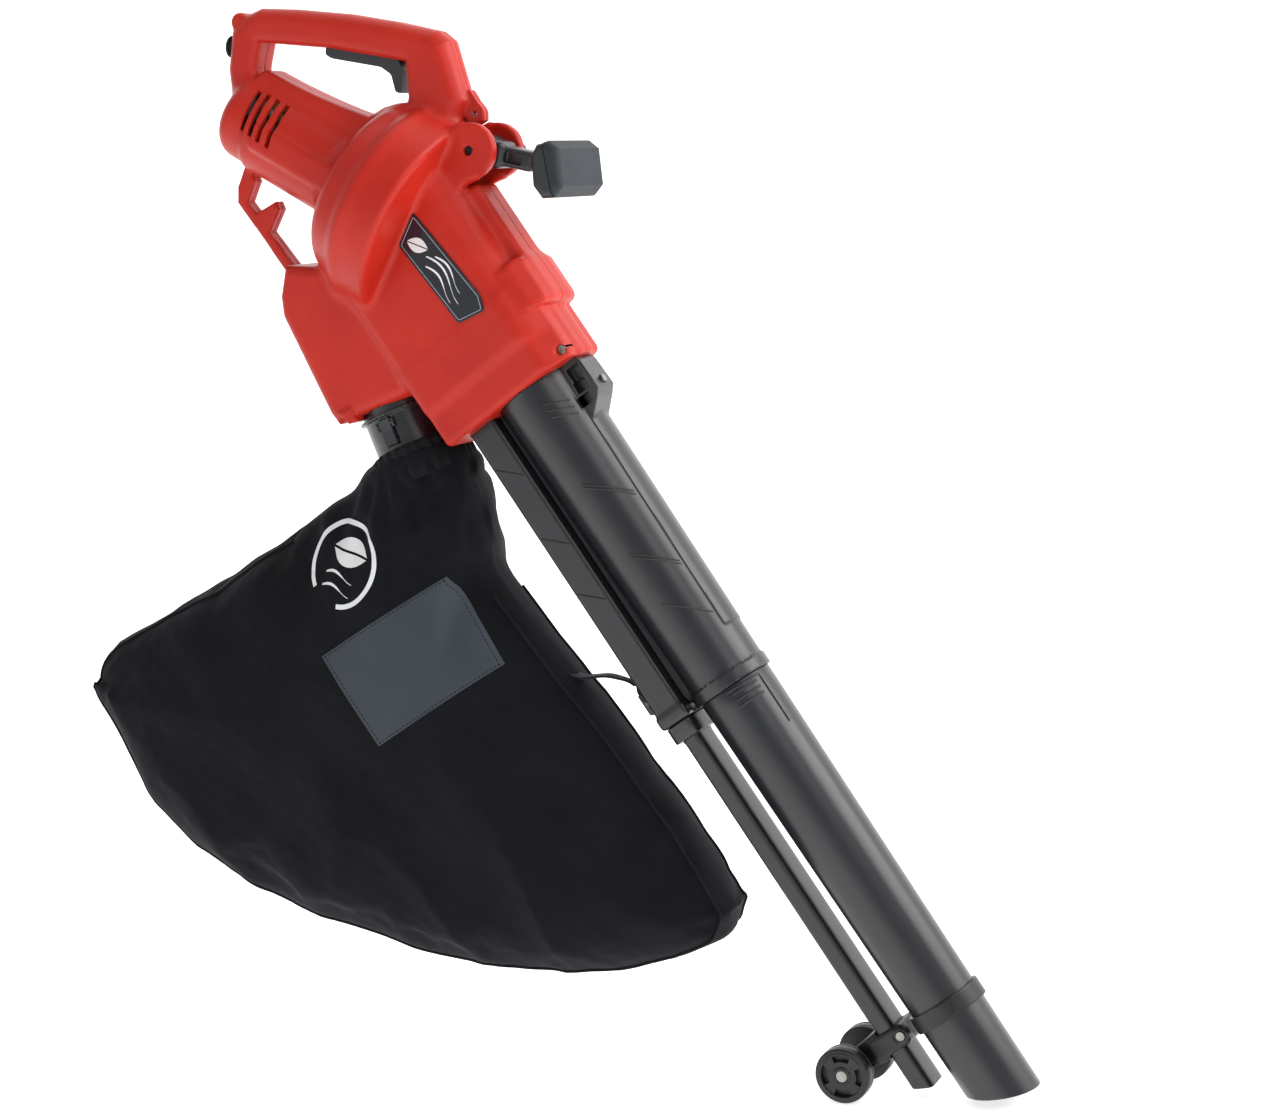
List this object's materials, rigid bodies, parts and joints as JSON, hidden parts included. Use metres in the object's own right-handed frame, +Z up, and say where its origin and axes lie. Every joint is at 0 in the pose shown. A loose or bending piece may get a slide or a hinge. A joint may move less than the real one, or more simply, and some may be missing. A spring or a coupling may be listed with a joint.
{
  "type": "leaf blower",
  "caption": "Electric leaf blower and vacuum with loop handle, tilting front grip, two-part suction and blow tubes, ground wheels and a catch bag.",
  "frame": {"origin": "centre of the strap eye, half way through its lug", "axes": "+X towards the nozzle, +Y across the tool away from the label side and along the strap eye, +Z up with the tool held at its working slope"},
  "size_m": [0.9201, 0.194, 1.0037],
  "materials": {
    "housing": "satin",
    "label": "gloss",
    "rubber": "matte",
    "dark": "satin",
    "trigger": "satin",
    "steel": "satin",
    "alloy": "satin",
    "lamination": "satin",
    "copper": "satin",
    "brass": "satin",
    "impeller": "satin",
    "grip": "matte",
    "tube": "gloss",
    "wheel": "satin",
    "cloth": "matte",
    "webbing": "matte"
  },
  "bodies": {
    "blower": {"housing_near": "housing", "housing_far": "housing", "housing_screws": "steel", "label_plate": "label", "cord_gland": "rubber", "switch_body": "dark", "trigger_pin": "steel", "trigger_spring": "steel", "motor_plate": "alloy", "motor_end_bracket": "alloy", "stator": "lamination", "field_coils": "copper", "front_bearing": "steel", "rear_bearing": "steel", "brush_holders": "brass", "inlet_ring": "dark", "pivot_bolt": "steel", "upper_tube": "tube", "tube_screw": "steel", "lower_suction_tube": "tube", "lower_blow_tube": "tube", "joint_screw": "steel", "wheel_bracket": "tube", "bracket_screw": "steel", "wheel_axle": "steel", "axle_screws": "steel", "bag_adaptor": "tube", "latch_pin": "steel", "latch_spring": "steel", "bag_collar": "dark", "bag": "cloth", "bag_strap": "webbing", "snap_hook": "steel"},
    "trigger": {"trigger": "trigger"},
    "front_handle": {"handle_arm": "dark", "handle_grip": "grip"},
    "clamp_knob": {"handle_knob": "dark"},
    "rotor": {"rotor_shaft": "steel", "armature": "copper", "commutator": "copper", "cooling_fan": "dark", "impeller": "impeller", "impeller_nut": "steel"},
    "mode": {"mode_flap": "dark", "flap_shaft": "steel", "mode_knob": "dark"},
    "left_wheel": {"wheel_near": "wheel"},
    "right_wheel": {"wheel_far": "wheel"},
    "latch": {"bag_latch": "trigger"},
    "gate": {"hook_gate": "steel"}
  },
  "joints": [
    {"name": "trigger_pull", "type": "hinge", "parent": "blower", "child": "trigger", "pos_m": [-0.14083, 0, 0.07607], "axis": [0, -1, 0], "range_deg": [0, 7], "stiffness_Nm_per_rad": 0.6},
    {"name": "front_handle_tilt", "type": "hinge", "parent": "blower", "child": "front_handle", "pos_m": [0.00402, 0, -0.03286], "axis": [0, -1, 0], "range_deg": [-25, 50]},
    {"name": "clamp_knob_turn", "type": "hinge", "parent": "blower", "child": "clamp_knob", "pos_m": [0.00402, 0.04, -0.03286], "axis": [0, 1, 0], "range_deg": [-160, 160]},
    {"name": "rotor_spin", "type": "hinge", "parent": "blower", "child": "rotor", "pos_m": [-0.09095, 0, -0.07334], "axis": [0.848, 0, -0.5299], "continuous": true},
    {"name": "mode_select", "type": "hinge", "parent": "blower", "child": "mode", "pos_m": [-0.11217, 0, -0.20923], "axis": [0, 1, 0], "range_deg": [0, 44]},
    {"name": "left_wheel_spin", "type": "hinge", "parent": "blower", "child": "left_wheel", "pos_m": [0.29693, 0, -0.86393], "axis": [0, 1, 0], "continuous": true},
    {"name": "right_wheel_spin", "type": "hinge", "parent": "blower", "child": "right_wheel", "pos_m": [0.29693, 0, -0.86393], "axis": [0, 1, 0], "continuous": true},
    {"name": "bag_latch_press", "type": "hinge", "parent": "blower", "child": "latch", "pos_m": [-0.10242, -0.0376, -0.27229], "axis": [0.9455, 0, 0.3256], "range_deg": [0, 3], "stiffness_Nm_per_rad": 0.2},
    {"name": "hook_gate_open", "type": "hinge", "parent": "blower", "child": "gate", "pos_m": [0.11851, 0.008, -0.52933], "axis": [0.848, 0, 0.5299], "range_deg": [0, 20], "stiffness_Nm_per_rad": 0.01}
  ]
}
